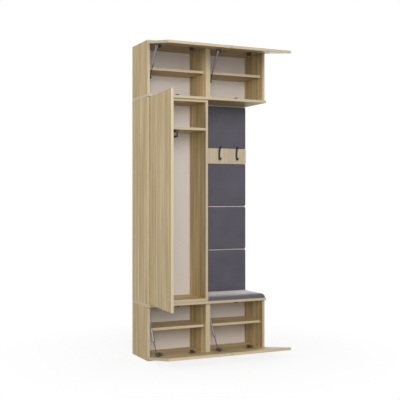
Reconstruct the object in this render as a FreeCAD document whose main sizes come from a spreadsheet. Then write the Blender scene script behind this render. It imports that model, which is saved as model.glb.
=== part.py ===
import FreeCAD, Part
import Sketcher
import math
import os

# Hallway wardrobe in three rows: an upper cabinet with two lift-up flaps, a tall
# wardrobe with a hinged door beside an open niche, and a low bench cabinet with two
# drop-down flaps and a seat cushion.
# Frame: +Z up, the front faces -Y, the origin is on the floor under the middle of the
# carcass.  All lengths are in millimetres.  The model rests with its fronts open.

SIZES = [
    # Whole carcass
    ("width", 920, "outer width"),
    ("height", 2200, "outer height"),
    ("depth", 295, "depth of the carcass boards"),
    ("board", 18, "thickness of laminated board"),
    ("end_row", 388, "height of the upper and of the lower row, plate included"),
    ("front_gap", 3, "gap between a closed front and the carcass"),
    ("reveal", 2, "gap round the edge of each front"),
    # Thin backs in grooves
    ("back_sheet", 3.2, "thickness of the white back sheets"),
    ("back_inset", 16.8, "back sheet to the rear edge of the boards"),
    ("groove_deep", 8, "depth of the groove for a back sheet"),
    ("groove_play", 0.3, "play of a back sheet in its groove"),
    # Shelves
    ("shelf_setback", 34, "front edge of a loose shelf behind the carcass front"),
    ("shelf_play", 1, "play at the ends and the back of a loose shelf"),
    ("upper_shelf_rise", 171, "shelf underside above the plate of the upper cabinet"),
    ("lower_shelf_rise", 182, "shelf underside above the floor of the bench"),
    ("hat_space", 182, "clear height above the hat shelf"),
    ("hat_setback", 2, "front edge of the hat shelf behind the carcass front"),
    ("pin_radius", 2.5, "radius of a shelf pin"),
    ("pin_sides", 8, "number of flats on a shelf pin"),
    ("pin_length", 18, "length of a shelf pin"),
    ("pin_bore", 10, "depth of the hole for a shelf pin"),
    ("pin_edge", 40, "shelf pin to the front or back edge of its shelf"),
    ("pin_fit", 0.05, "clearance of a shelf pin in its hole"),
    # Fronts
    ("flap_angle", 81, "opening angle of a flap"),
    ("door_angle", 94.3, "opening angle of the door in the rest pose"),
    ("turn_inward", 12, "hinge axis inward of the outer edge of the carcass"),
    ("turn_forward", 20, "hinge axis in front of the carcass"),
    ("front_ease", 1, "eased edges of a front"),
    # Concealed hinges
    ("cup_radius", 17.5, "radius of a hinge cup"),
    ("cup_depth", 14, "depth of a hinge cup"),
    ("cup_edge", 22, "centre of a hinge cup to the edge of its front"),
    ("cup_fit", 0.1, "radial clearance of a cup in its bore"),
    ("cup_wall", 0.8, "floor of a hinge cup"),
    ("cup_slot_half", 15.8, "half the length of the slot in a hinge cup"),
    ("cup_slot_wide", 12.4, "width of the slot in a hinge cup"),
    ("flange_thick", 1.2, "thickness of the flange of a cup"),
    ("flange_long", 56, "length of the flange along the hinge axis"),
    ("flange_wide", 16, "width of the flange"),
    ("link_width", 11, "width of a hinge link along its axis"),
    ("link_thick", 2, "thickness of a hinge link"),
    ("link_eye", 4.2, "radius of the eye of a hinge link"),
    ("link_play", 0.3, "side clearance of a hinge link"),
    ("door_link_in", 37, "pivot of a door hinge link inward of the outer edge"),
    ("flap_link_in", 36, "pivot of a flap hinge link inward of the outer edge"),
    ("link_behind", 4.8, "pivot of a hinge link behind the carcass front"),
    ("door_bow_in_a", 33.55, "bow of the open door link, first bend inward"),
    ("door_bow_out_a", 9.5, "bow of the open door link, first bend forward"),
    ("door_bow_in_b", 33.25, "second bend inward"),
    ("door_bow_out_b", 18, "second bend forward"),
    ("door_bow_in_c", 28.5, "third bend inward"),
    ("door_bow_out_c", 20.25, "third bend forward"),
    ("door_bow_in_d", 21.6, "end inward"),
    ("door_bow_out_d", 19.05, "end forward"),
    ("flap_bow_in_a", 34.4, "bow of the open flap link, first bend inward"),
    ("flap_bow_out_a", 12.25, "bow of the open flap link, first bend forward"),
    ("flap_bow_in_b", 28.2, "second bend inward"),
    ("flap_bow_out_b", 16.9, "second bend forward"),
    ("flap_bow_in_c", 18.7, "end inward"),
    ("flap_bow_out_c", 18.6, "end forward"),
    ("link_pin", 2, "radius of the pivot pin of a hinge link"),
    ("link_pin_fit", 0.05, "radial clearance on that pin"),
    ("arm_wall", 2, "cheek of a hinge arm"),
    ("arm_long", 62, "length of a hinge arm behind the carcass front"),
    ("arm_nose", 5, "radius of the nose of a hinge arm"),
    ("plate_long", 44, "length of a hinge mounting plate"),
    ("plate_thick", 3, "thickness of a hinge mounting plate"),
    ("plate_wide", 40, "width of a hinge mounting plate"),
    ("plate_behind", 16, "mounting plate behind the carcass front"),
    ("flap_hinge_half", 125, "half the distance between the hinges of a flap"),
    ("door_hinge_end", 110, "outer door hinges to the ends of the door"),
    # Gas struts
    ("strut_wall_gap", 12, "axis of a strut beside its cabinet wall"),
    ("ball_along", 94.4, "strut pivot on a closed flap, from the outer edge"),
    ("ball_behind", 11.5, "strut pivot on a closed flap, behind the carcass front"),
    ("anchor_along", 256, "strut pivot on the cabinet wall, from the outer edge"),
    ("anchor_behind", 28, "strut pivot on the cabinet wall, behind the carcass front"),
    ("tube_radius", 7.5, "radius of a strut cylinder"),
    ("tube_end", 137, "mouth of the cylinder from its own pivot"),
    ("tube_bottom", 20, "blind end of the bore from the pivot of the cylinder"),
    ("rod_radius", 3, "radius of a strut rod"),
    ("rod_fit", 0.05, "radial clearance of a rod in its cylinder"),
    ("rod_hidden", 40, "length of rod inside the cylinder when it is extended"),
    ("eye_radius", 6, "radius of the end fittings of a strut"),
    ("eye_wide", 16, "width of the end fittings along the pivot"),
    ("stud_radius", 3, "radius of the studs that carry a strut"),
    ("stud_fit", 0.05, "radial clearance of a stud in its fitting"),
    ("stud_gap", 0.3, "gap between a stud and the side of a fitting"),
    ("bracket_thick", 2, "sheet of a strut bracket"),
    ("bracket_long", 38, "length of the foot of a strut bracket"),
    ("bracket_wide", 16, "width of a strut bracket"),
    ("anchor_radius", 9, "half the width and a quarter of the length of an anchor's foot"),
    # Push latches
    ("latch_wide", 16, "width of a push latch"),
    ("latch_high", 10, "height of a push latch"),
    ("latch_long", 52, "length of a push latch"),
    ("latch_setback", 1.5, "nose of a push latch behind the carcass front"),
    ("plunger_half", 3, "half the width of a square latch plunger"),
    ("plunger_fit", 0.05, "clearance of a latch plunger on each side"),
    ("plunger_long", 30, "length of a latch plunger"),
    ("plunger_gap", 0.3, "tip of a plunger to a closed flap"),
    ("plunger_travel", 3.5, "travel of a latch plunger"),
    # Pull-out hanging rail
    ("rail_wide", 24, "width of the rail channel"),
    ("rail_high", 14, "height of the rail channel"),
    ("rail_wall", 1.6, "wall of the rail channel"),
    ("rail_slot", 10, "slot along the underside of the channel"),
    ("rail_front", 14, "front end of the rail behind the carcass front"),
    ("rail_long", 250, "length of the rail channel"),
    ("rail_play", 0.3, "play of the slider in the channel"),
    ("hang_drop", 46, "axis of the hanging rod below the hat shelf"),
    ("hang_radius", 7, "radius of the hanging rod"),
    ("hang_leg", 6, "thickness of the legs of the hanging rod"),
    # Niche: white backing board, soft panels, hook board and hooks
    ("niche_right", 15, "right edge of the wall panels inside the carcass width"),
    ("panel_thick", 18, "thickness of a soft wall panel"),
    ("panel_rows", 3, "number of soft wall panels under the hook board"),
    ("panel_foot", 21, "lowest soft panel above the seat plate"),
    ("panel_gap", 8, "gap between soft wall panels"),
    ("panel_round", 5, "rounding of a soft wall panel"),
    ("panel_side_gap", 1, "soft wall panel to the wardrobe side"),
    ("hook_board_high", 115, "height of the hook board"),
    ("hook_board_top", 323, "top of the hook board below the niche ceiling"),
    ("hook_board_thick", 16, "thickness of the hook board"),
    ("hook_first", 73, "first hook from the left edge of the hook board"),
    ("hook_pitch", 145, "distance between hooks"),
    ("hook_count", 3, "number of coat hooks"),
    ("hook_wide", 12, "width of a coat hook"),
    ("hook_thick", 7, "thickness of the bar of a coat hook"),
    ("hook_high", 103, "height of a coat hook"),
    ("hook_top", 15, "top of a hook above the top of the hook board"),
    ("hook_reach", 34, "reach of a hook from the hook board"),
    # Seat cushion
    ("cushion_high", 31, "height of the seat cushion at its crown"),
    ("cushion_round", 26, "rounding of the open upper edges of the cushion"),
    ("cushion_corner", 30, "rounding of the front right corner of the cushion"),
    ("upright_share", 0.9, "least upright share of an edge that counts as upright"),
    ("cushion_lip", 3, "front of the cushion behind the front of the plate"),
    ("cushion_gap", 1, "cushion to the wardrobe side and the wall panels"),
    ("cushion_end", 2, "cushion short of the right end of the bench"),
    # Wall brackets
    ("wall_leg", 24, "legs of a wall bracket"),
    ("wall_wide", 30, "width of a wall bracket"),
    ("wall_sheet", 2, "sheet of a wall bracket"),
    ("wall_hole", 2.75, "radius of the screw hole of a wall bracket"),
    ("wall_edge", 120, "wall bracket to the side of the carcass"),
    # One overrun for every cut
    ("overrun", 5, "length by which a cutting tool passes a face"),
]

doc = FreeCAD.newDocument("hallway_wardrobe")
sheet = doc.addObject("Spreadsheet::Sheet", "Sizes")
for row, (alias, value, note) in enumerate(SIZES, start=1):
    sheet.set("A%d" % row, alias)
    sheet.set("B%d" % row, str(value))
    sheet.set("C%d" % row, note)
    sheet.setAlias("B%d" % row, alias)
doc.recompute()


class Values:
    """The sheet's sizes as plain numbers, for placements and for outlines."""

    def __getattr__(self, alias):
        return float(sheet.get(alias))


v = Values()
NAMES = sorted((alias for alias, value, note in SIZES), key=len, reverse=True)


def bound(text):
    """An expression on aliases, with each alias pointed at the sheet."""
    out = []
    word = ""
    for letter in text + " ":
        if letter.isalnum() or letter == "_":
            word += letter
        else:
            out.append("Sizes." + word if word in NAMES else word)
            out.append(letter)
            word = ""
    return "".join(out).strip()


# Named levels and places, as expressions on the sheet
LEFT = "(-width / 2)"
RIGHT = "(width / 2)"
FRONT = "(-depth / 2)"
BACK = "(depth / 2)"
PLATE_FRONT = "(%s - front_gap - board)" % FRONT
SHEET_FRONT = "(%s - back_inset - back_sheet)" % BACK
UPPER_PLATE = "(height - end_row)"
UPPER_FLOOR = "(height - end_row + board)"
UPPER_CEILING = "(height - board)"
BENCH_FLOOR = "board"
BENCH_CEILING = "(end_row - board)"
SEAT = "end_row"
HAT_TOP = "(%s - board - hat_space)" % UPPER_PLATE
HAT_UNDER = "(%s - board)" % HAT_TOP
WALL_FACE = "(%s - board)" % BACK
NICHE_RIGHT = "(%s - niche_right)" % RIGHT

PARTS = []


def keep(obj, label):
    obj.Label = label
    PARTS.append(obj)
    return obj


def box(name, x0, x1, y0, y1, z0, z1):
    """A box between two corners, each coordinate an expression on the sheet."""
    obj = doc.addObject("Part::Box", name)
    obj.setExpression("Length", bound("(%s) - (%s)" % (x1, x0)))
    obj.setExpression("Width", bound("(%s) - (%s)" % (y1, y0)))
    obj.setExpression("Height", bound("(%s) - (%s)" % (z1, z0)))
    obj.setExpression("Placement.Base.x", bound(x0))
    obj.setExpression("Placement.Base.y", bound(y0))
    obj.setExpression("Placement.Base.z", bound(z0))
    return obj


def cylinder(name, radius, length, x, y, z, axis):
    """A cylinder bound to the sheet, its axis a unit vector of numbers."""
    obj = doc.addObject("Part::Cylinder", name)
    obj.setExpression("Radius", bound(radius))
    obj.setExpression("Height", bound(length))
    turn = FreeCAD.Rotation(FreeCAD.Vector(0, 0, 1), FreeCAD.Vector(*axis))
    obj.Placement = FreeCAD.Placement(FreeCAD.Vector(0, 0, 0), turn)
    obj.setExpression("Placement.Base.x", bound(x))
    obj.setExpression("Placement.Base.y", bound(y))
    obj.setExpression("Placement.Base.z", bound(z))
    return obj


def fuse(name, pieces):
    obj = doc.addObject("Part::MultiFuse", name)
    obj.Shapes = pieces
    obj.Refine = True
    return obj


def cut(name, base, tools):
    """The base less its tools, as one boolean."""
    obj = doc.addObject("Part::Cut", name)
    obj.Base = base
    obj.Tool = tools[0] if len(tools) == 1 else fuse(name + "_tools", tools)
    return obj


def group(name, pieces):
    """Separate solids that share one node."""
    obj = doc.addObject("Part::Compound", name)
    obj.Links = pieces
    return obj


# Carcass boards

def groove(name, x0, x1, z0, z1):
    """The groove for a back sheet, as a box from one groove floor to the other."""
    y0 = "%s - groove_play" % SHEET_FRONT
    y1 = "%s + back_sheet + groove_play" % SHEET_FRONT
    return box(name, "%s - groove_deep" % x0, "%s + groove_deep" % x1, y0, y1,
               "%s - groove_deep" % z0, "%s + groove_deep" % z1)


def back_sheet(name, x0, x1, z0, z1):
    """A white back sheet that sits in the grooves round a bay."""
    edge = "groove_deep - groove_play"
    return box(name, "%s - (%s)" % (x0, edge), "%s + (%s)" % (x1, edge),
               SHEET_FRONT, "%s + back_sheet" % SHEET_FRONT,
               "%s - (%s)" % (z0, edge), "%s + (%s)" % (z1, edge))


def peg(name, radius, length, x, y, z, inward):
    """An eight-sided peg across a wall, for a shelf pin or its hole."""
    obj = doc.addObject("Part::Prism", name)
    obj.setExpression("Polygon", bound("pin_sides"))
    obj.setExpression("Circumradius", bound(radius))
    obj.setExpression("Height", bound(length))
    turn = FreeCAD.Rotation(FreeCAD.Vector(0, 0, 1), FreeCAD.Vector(inward, 0, 0))
    obj.Placement = FreeCAD.Placement(FreeCAD.Vector(0, 0, 0), turn)
    obj.setExpression("Placement.Base.x", bound(x))
    obj.setExpression("Placement.Base.y", bound(y))
    obj.setExpression("Placement.Base.z", bound(z))
    return obj


def pin_holes(name, side_x, inward, z):
    """Two holes for shelf pins in a side board, at the height of a shelf."""
    places = ("%s + shelf_setback + pin_edge" % FRONT,
              "%s - shelf_play - pin_edge" % SHEET_FRONT)
    start = "%s - (%s) * pin_bore" % (side_x, inward)
    return [peg("%s_%d" % (name, i), "pin_radius + pin_fit", "pin_bore + overrun",
                start, y, "(%s) - pin_radius" % z, float(inward))
            for i, y in enumerate(places)]


BAYS = {
    "left": ("(%s + board)" % LEFT, "(-board)"),
    "right": ("board", "(%s - board)" % RIGHT),
}
ROWS = {
    "upper": (UPPER_FLOOR, UPPER_CEILING, "%s + upper_shelf_rise" % UPPER_FLOOR),
    "bench": (BENCH_FLOOR, BENCH_CEILING, "%s + lower_shelf_rise" % BENCH_FLOOR),
}
WARDROBE_LEFT = "(%s + board)" % LEFT
WARDROBE_RIGHT = "(-board)"
WARDROBE_FLOOR = "(end_row + board)"
WARDROBE_CEILING = "(%s - board)" % UPPER_PLATE


def end_cabinet(row):
    """Sides, centre partitions, shelves and backs of the upper or the bench cabinet."""
    floor, ceiling, shelf = ROWS[row]
    base = UPPER_FLOOR if row == "upper" else "0"
    top = "height" if row == "upper" else BENCH_CEILING
    sides = {"left": (LEFT, BAYS["left"][0]), "right": (BAYS["right"][1], RIGHT)}
    for side, (x0, x1) in sides.items():
        bay = BAYS[side]
        blank = box("%s_%s_side_blank" % (row, side), x0, x1, FRONT, BACK, base, top)
        wall = bay[0] if side == "left" else bay[1]
        inward = "1" if side == "left" else "-1"
        tools = [groove("%s_%s_side_groove" % (row, side), bay[0], bay[1], floor, ceiling)]
        tools += pin_holes("%s_%s_side_pin" % (row, side), wall, inward, shelf)
        keep(cut("%s_%s_side_cut" % (row, side), blank, tools), "%s_%s_side" % (row, side))
    partitions = []
    for side, x0, x1 in (("left", "-board", "0"), ("right", "0", "board")):
        bay = BAYS[side]
        blank = box("%s_%s_wall_blank" % (row, side), x0, x1, FRONT, BACK, floor, ceiling)
        wall = bay[1] if side == "left" else bay[0]
        inward = "-1" if side == "left" else "1"
        tools = [groove("%s_%s_wall_groove" % (row, side), bay[0], bay[1], floor, ceiling)]
        tools += pin_holes("%s_%s_wall_pin" % (row, side), wall, inward, shelf)
        partitions.append(cut("%s_%s_wall" % (row, side), blank, tools))
    sheets = [back_sheet("%s_%s_back" % (row, side), BAYS[side][0], BAYS[side][1], floor, ceiling)
              for side in BAYS]
    shelves = [box("%s_%s_shelf" % (row, side), "%s + shelf_play" % BAYS[side][0],
                   "%s - shelf_play" % BAYS[side][1], "%s + shelf_setback" % FRONT,
                   "%s - shelf_play" % SHEET_FRONT, shelf, "%s + board" % shelf)
               for side in BAYS]
    return partitions, sheets, shelves


def grooved(name, blank, floor, ceiling):
    """A top or bottom board with the grooves of both bays."""
    tools = [groove("%s_groove_%s" % (name, side), BAYS[side][0], BAYS[side][1], floor, ceiling)
             for side in BAYS]
    return keep(cut(name + "_cut", blank, tools), name)


upper = end_cabinet("upper")
bench = end_cabinet("bench")
keep(group("partitions_group", upper[0] + bench[0]), "centre_partitions")
keep(group("backs_group", upper[1] + bench[1]), "bay_backs")
keep(group("shelves_group", upper[2] + bench[2]), "bay_shelves")
grooved("upper_top_board",
        box("upper_top_blank", BAYS["left"][0], BAYS["right"][1], FRONT, BACK,
            UPPER_CEILING, "height"), UPPER_FLOOR, UPPER_CEILING)
grooved("upper_bottom_plate",
        box("upper_plate_blank", LEFT, RIGHT, PLATE_FRONT, BACK, UPPER_PLATE, UPPER_FLOOR),
        UPPER_FLOOR, UPPER_CEILING)
grooved("bench_top_plate",
        box("bench_plate_blank", LEFT, RIGHT, PLATE_FRONT, BACK, BENCH_CEILING, SEAT),
        BENCH_FLOOR, BENCH_CEILING)
grooved("bench_bottom_board",
        box("bench_bottom_blank", BAYS["left"][0], BAYS["right"][1], FRONT, BACK, "0",
            BENCH_FLOOR), BENCH_FLOOR, BENCH_CEILING)


def wardrobe():
    """The tall box behind the door: sides, top, bottom, hat shelf and back."""
    bay = (WARDROBE_LEFT, WARDROBE_RIGHT, WARDROBE_FLOOR, WARDROBE_CEILING)
    boards = (
        ("wardrobe_left_side", LEFT, WARDROBE_LEFT, SEAT, UPPER_PLATE),
        ("wardrobe_right_side", WARDROBE_RIGHT, "0", SEAT, UPPER_PLATE),
        ("wardrobe_top_board", WARDROBE_LEFT, WARDROBE_RIGHT, WARDROBE_CEILING, UPPER_PLATE),
        ("wardrobe_bottom_board", WARDROBE_LEFT, WARDROBE_RIGHT, SEAT, WARDROBE_FLOOR),
    )
    for name, x0, x1, z0, z1 in boards:
        blank = box(name + "_blank", x0, x1, FRONT, BACK, z0, z1)
        keep(cut(name + "_cut", blank, [groove(name + "_groove", *bay)]), name)
    keep(box("hat_shelf_board", WARDROBE_LEFT, WARDROBE_RIGHT, "%s + hat_setback" % FRONT,
             SHEET_FRONT, HAT_UNDER, HAT_TOP), "hat_shelf")
    keep(back_sheet("wardrobe_back_sheet", *bay), "wardrobe_back")


wardrobe()


def shelf_pins():
    """Four steel pins under each loose shelf, half in the wall and half under the shelf."""
    pins = []
    places = ("%s + shelf_setback + pin_edge" % FRONT,
              "%s - shelf_play - pin_edge" % SHEET_FRONT)
    for row in ROWS:
        z = "(%s) - pin_radius" % ROWS[row][2]
        for side in BAYS:
            for end, inward in ((0, 1), (1, -1)):
                start = "%s - (%d) * pin_bore" % (BAYS[side][end], inward)
                for i, y in enumerate(places):
                    name = "pin_%s_%s_%d_%d" % (row, side, end, i)
                    pins.append(peg(name, "pin_radius", "pin_length", start, y, z, inward))
    return keep(group("pins_group", pins), "shelf_pins")


shelf_pins()


# Fronts and hinges are made in their own frame and in the closed pose: local x runs
# inward from the outer edge of the carcass, local y runs forward from its front, and
# local z runs along the hinge.  A front is then turned about its hinge axis.

AXIS_AT = FreeCAD.Vector(v.turn_inward, v.turn_forward, 0)
HALF_BAY = v.width / 4


def frame_placement(x_axis, y_axis, z_axis, base):
    """The placement that carries local axes to the given world axes."""
    m = FreeCAD.Matrix(x_axis[0], y_axis[0], z_axis[0], base[0],
                       x_axis[1], y_axis[1], z_axis[1], base[1],
                       x_axis[2], y_axis[2], z_axis[2], base[2],
                       0, 0, 0, 1)
    return FreeCAD.Placement(m)


def front_frames():
    """Each front: its frame, opening angle, hinge places and length along the hinge."""
    front = -v.depth / 2
    flap_hinges = (-v.flap_hinge_half, v.flap_hinge_half)
    door_mid = v.height / 2
    door_half = (v.height - 2 * v.end_row) / 2 - v.reveal
    door_hinges = (v.door_hinge_end - door_half, 0, door_half - v.door_hinge_end)
    frames = {
        "door": (frame_placement((1, 0, 0), (0, -1, 0), (0, 0, -1),
                                 (-v.width / 2, front, door_mid)), v.door_angle, door_hinges)}
    for side, sign in (("left", -1), ("right", 1)):
        frames["upper_%s" % side] = (
            frame_placement((0, 0, -1), (0, -1, 0), (-1, 0, 0), (sign * HALF_BAY, front, v.height)),
            v.flap_angle, flap_hinges)
        frames["lower_%s" % side] = (
            frame_placement((0, 0, 1), (0, -1, 0), (1, 0, 0), (sign * HALF_BAY, front, 0)),
            v.flap_angle, flap_hinges)
    return frames


FRAMES = front_frames()


def opened(name):
    """The placement of a front in the rest pose."""
    frame, angle, hinges = FRAMES[name]
    turn = FreeCAD.Rotation(FreeCAD.Vector(0, 0, 1), angle)
    return frame.multiply(FreeCAD.Placement(FreeCAD.Vector(0, 0, 0), turn, AXIS_AT))


def origin_plane(body, role):
    return next(f for f in body.Origin.OriginFeatures if f.Role == role)


def rectangle(sketch, x0, x1, y0, y1):
    """A closed rectangle whose four distances are bound to the sheet."""
    values = [v_of(e) for e in (x0, x1, y0, y1)]
    corners = [(values[0], values[2]), (values[1], values[2]),
               (values[1], values[3]), (values[0], values[3])]
    for i in range(4):
        a = corners[i]
        b = corners[(i + 1) % 4]
        sketch.addGeometry(Part.LineSegment(FreeCAD.Vector(a[0], a[1], 0),
                                            FreeCAD.Vector(b[0], b[1], 0)), False)
    for i in range(4):
        sketch.addConstraint(Sketcher.Constraint("Coincident", i, 2, (i + 1) % 4, 1))
    for i, way in enumerate(("Horizontal", "Vertical", "Horizontal", "Vertical")):
        sketch.addConstraint(Sketcher.Constraint(way, i))
    for edge, point, kind, text in ((0, 1, "DistanceX", x0), (2, 1, "DistanceX", x1),
                                    (0, 1, "DistanceY", y0), (2, 1, "DistanceY", y1)):
        index = sketch.addConstraint(Sketcher.Constraint(kind, edge, point, v_of(text)))
        sketch.setExpression("Constraints[%d]" % index, bound(text))


def v_of(text):
    """The value of an expression on the sheet, as a number."""
    return float(sheet.evalExpression(text))


def block_body(name, x0, x1, y0, y1, z0, z1):
    """A body whose first feature is a padded rectangle."""
    body = doc.addObject("PartDesign::Body", name)
    sketch = body.newObject("Sketcher::SketchObject", name + "_outline")
    sketch.AttachmentSupport = (origin_plane(body, "XY_Plane"), [""])
    sketch.MapMode = "FlatFace"
    sketch.setExpression("AttachmentOffset.Base.z", bound(z0))
    rectangle(sketch, x0, x1, y0, y1)
    pad = body.newObject("PartDesign::Pad", name + "_pad")
    pad.Profile = sketch
    pad.setExpression("Length", bound("(%s) - (%s)" % (z1, z0)))
    doc.recompute()
    return body, pad


def softened(body, base, kind, size, radius, wanted):
    """A fillet or chamfer on the edges whose middle and direction satisfy a test."""
    names = []
    for i, edge in enumerate(base.Shape.Edges, start=1):
        middle = edge.valueAt((edge.FirstParameter + edge.LastParameter) / 2)
        along = edge.tangentAt(edge.FirstParameter)
        if wanted(middle, along):
            names.append("Edge%d" % i)
    feature = body.newObject("PartDesign::" + kind, body.Name + "_" + kind.lower())
    feature.Base = (base, names)
    feature.setExpression(size, bound(radius))
    doc.recompute()
    return feature


def rounded(body, base, radius, wanted):
    return softened(body, base, "Fillet", "Radius", radius, wanted)


CUP_MID = "(reveal + cup_edge)"


def front(name, label, last):
    """A door or flap in its closed place, bored for its cups, then turned open."""
    frame, angle, hinges = FRAMES[name]
    half = "(height - 2 * end_row) / 2 - reveal" if name == "door" else "width / 4 - reveal"
    body, pad = block_body(label, "reveal", last, "front_gap", "front_gap + board",
                           "-(%s)" % half, half)
    eased = softened(body, pad, "Chamfer", "Size", "front_ease", lambda middle, along: True)
    bore = body.newObject("Sketcher::SketchObject", label + "_bores")
    bore.AttachmentSupport = (origin_plane(body, "XZ_Plane"), [""])
    bore.MapMode = "FlatFace"
    bore.setExpression("AttachmentOffset.Base.z", bound("-front_gap"))
    for i, z in enumerate(hinges):
        centre = FreeCAD.Vector(v_of(CUP_MID), z, 0)
        bore.addGeometry(Part.Circle(centre, FreeCAD.Vector(0, 0, 1), v.cup_radius), False)
        radius = bore.addConstraint(Sketcher.Constraint("Radius", i, v.cup_radius))
        bore.setExpression("Constraints[%d]" % radius, bound("cup_radius + cup_fit"))
        along = bore.addConstraint(Sketcher.Constraint("DistanceX", i, 3, centre.x))
        bore.setExpression("Constraints[%d]" % along, bound(CUP_MID))
        if abs(z) > 0:
            bore.addConstraint(Sketcher.Constraint("DistanceY", i, 3, z))
    pocket = body.newObject("PartDesign::Pocket", label + "_pocket")
    pocket.Profile = bore
    pocket.setExpression("Length", bound("cup_depth + cup_fit"))
    doc.recompute()
    if pocket.Shape.Volume > eased.Shape.Volume - math.pi * v.cup_radius ** 2:
        raise ValueError("the cup bores of %s cut nothing" % label)
    body.Placement = opened(name)
    return keep(body, label)


def place(shape, name, placement, label=None):
    """A shape made from the sheet's sizes, as an object with its placement."""
    obj = doc.addObject("Part::Feature", name)
    obj.Shape = shape
    obj.Placement = placement
    if label:
        keep(obj, label)
    return obj


def vec(p, q, z=0):
    return FreeCAD.Vector(p, q, z)


def block(p0, p1, q0, q1, z0, z1):
    return Part.makeBox(p1 - p0, q1 - q0, z1 - z0, vec(p0, q0, z0))


def turned(radius, start, end):
    """A round bar between two points."""
    along = end.sub(start)
    return Part.makeCylinder(radius, along.Length, start, along)


def hinge_cup(z):
    """A pressed cup with a flange and a slot for its link, in the frame of a closed front."""
    q = v.front_gap
    mid = v.reveal + v.cup_edge
    cup = turned(v.cup_radius, vec(mid, q, z), vec(mid, q + v.cup_depth, z))
    ears = block(mid - v.cup_slot_half - v.flange_thick, mid + v.cup_slot_half + v.flange_thick,
                 q - v.flange_thick, q, z - v.cup_radius, z + v.cup_radius)
    long_ears = block(mid - v.flange_wide / 2, mid + v.flange_wide / 2, q - v.flange_thick, q,
                      z - v.flange_long / 2, z + v.flange_long / 2)
    slot = block(mid - v.cup_slot_half, mid + v.cup_slot_half, q - v.overrun,
                 q + v.cup_depth - v.cup_wall, z - v.cup_slot_wide / 2, z + v.cup_slot_wide / 2)
    return cup.fuse([ears, long_ears]).cut(slot).removeSplitter()


def link_path(name):
    """Centre line of a hinge link in the rest pose, from its pin into its cup."""
    if name == "door":
        bends = ((v.door_bow_in_a, v.door_bow_out_a), (v.door_bow_in_b, v.door_bow_out_b),
                 (v.door_bow_in_c, v.door_bow_out_c), (v.door_bow_in_d, v.door_bow_out_d))
        start = (v.door_link_in, -v.link_behind)
    else:
        bends = ((v.flap_bow_in_a, v.flap_bow_out_a), (v.flap_bow_in_b, v.flap_bow_out_b),
                 (v.flap_bow_in_c, v.flap_bow_out_c))
        start = (v.flap_link_in, -v.link_behind)
    return [vec(p, q) for p, q in (start,) + bends]


def across(a, b, size):
    """A vector of a given size square to the line from a to b."""
    along = b.sub(a)
    return vec(-along.y, along.x).multiply(size / along.Length)


def mitred(path, half):
    """One side of a bar of even thickness: the path moved sideways and mitred at its bends."""
    side = [path[0].add(across(path[0], path[1], half))]
    for a, b, c in zip(path, path[1:], path[2:]):
        first = across(a, b, half)
        second = across(b, c, half)
        both = first.add(second)
        side.append(b.add(both.multiply(half * half * 2 / both.Length ** 2)))
    return side + [path[-1].add(across(path[-2], path[-1], half))]


def hinge_link(name, z):
    """A bowed link: an eye on the arm's pin, then a bar of even thickness."""
    half = v.link_width / 2
    path = link_path(name)
    ring = mitred(path, v.link_thick / 2) + mitred(path, -v.link_thick / 2)[::-1]
    bar = Part.Face(Part.makePolygon(ring + ring[:1]))
    bar.translate(vec(0, 0, z - half))
    ears = [path[0].add(vec(v.link_eye * math.cos(turn), v.link_eye * math.sin(turn), z - half))
            for turn in (math.tau * i / v.pin_sides for i in range(int(v.pin_sides)))]
    knuckle = Part.Face(Part.makePolygon(ears + ears[:1])).extrude(vec(0, 0, v.link_width))
    bore = turned(v.link_pin + v.link_pin_fit, path[0].add(vec(0, 0, z - half - v.overrun)),
                  path[0].add(vec(0, 0, z + half + v.overrun)))
    return bar.extrude(vec(0, 0, v.link_width)).fuse(knuckle).cut(bore).removeSplitter()


def hinge_arm(name, z):
    """A mounting plate on the carcass with its arm, its fork and the pin of the link."""
    wall = v.board
    pivot = link_path(name)[0]
    inner = v.link_width / 2 + v.link_play
    outer = inner + v.arm_wall
    low = wall + v.plate_thick
    top = pivot.x + v.arm_nose
    tip = pivot.y + v.arm_nose
    plate = block(wall, low, -v.plate_behind - v.plate_long, -v.plate_behind,
                  z - v.plate_wide / 2, z + v.plate_wide / 2)
    outline = [(low, -v.arm_long), (top - v.arm_nose, -v.arm_long), (top, v.arm_nose - v.arm_long),
               (top, pivot.y), (pivot.x + v.arm_nose / 2, tip), (pivot.x - v.arm_nose / 2, tip),
               (pivot.x - v.arm_nose, pivot.y), (pivot.x - v.arm_nose, -v.plate_behind),
               (low, -v.plate_behind)]
    ring = [vec(p, q, z - outer) for p, q in outline]
    shank = Part.Face(Part.makePolygon(ring + ring[:1])).extrude(vec(0, 0, outer * 2))
    slot = block(low - v.overrun, top + v.overrun, pivot.y - v.link_eye - v.arm_wall,
                 tip + v.overrun, z - inner, z + inner)
    pin = turned(v.link_pin, pivot.add(vec(0, 0, z - outer)), pivot.add(vec(0, 0, z + outer)))
    return shank.fuse(plate).cut(slot).fuse(pin).removeSplitter()


# Gas struts, in the frame of a closed front turned open: each has a cylinder, a rod and
# two end fittings.  One end turns on a stud of the front, the other on the cabinet wall.

def strut_z(name):
    """Where the axis of a strut lies along its hinge: by the left wall of its bay."""
    place_z = v.width / 4 - v.board - v.strut_wall_gap
    return place_z if name.startswith("upper") else -place_z


def strut_ends(name):
    """The strut's pivots on the open front and on the cabinet wall."""
    z = strut_z(name)
    turn = FreeCAD.Placement(vec(0, 0), FreeCAD.Rotation(vec(0, 0, 1), v.flap_angle), AXIS_AT)
    ball = turn.multVec(vec(v.ball_along, -v.ball_behind, z))
    return ball, vec(v.anchor_along, -v.anchor_behind, z)


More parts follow.
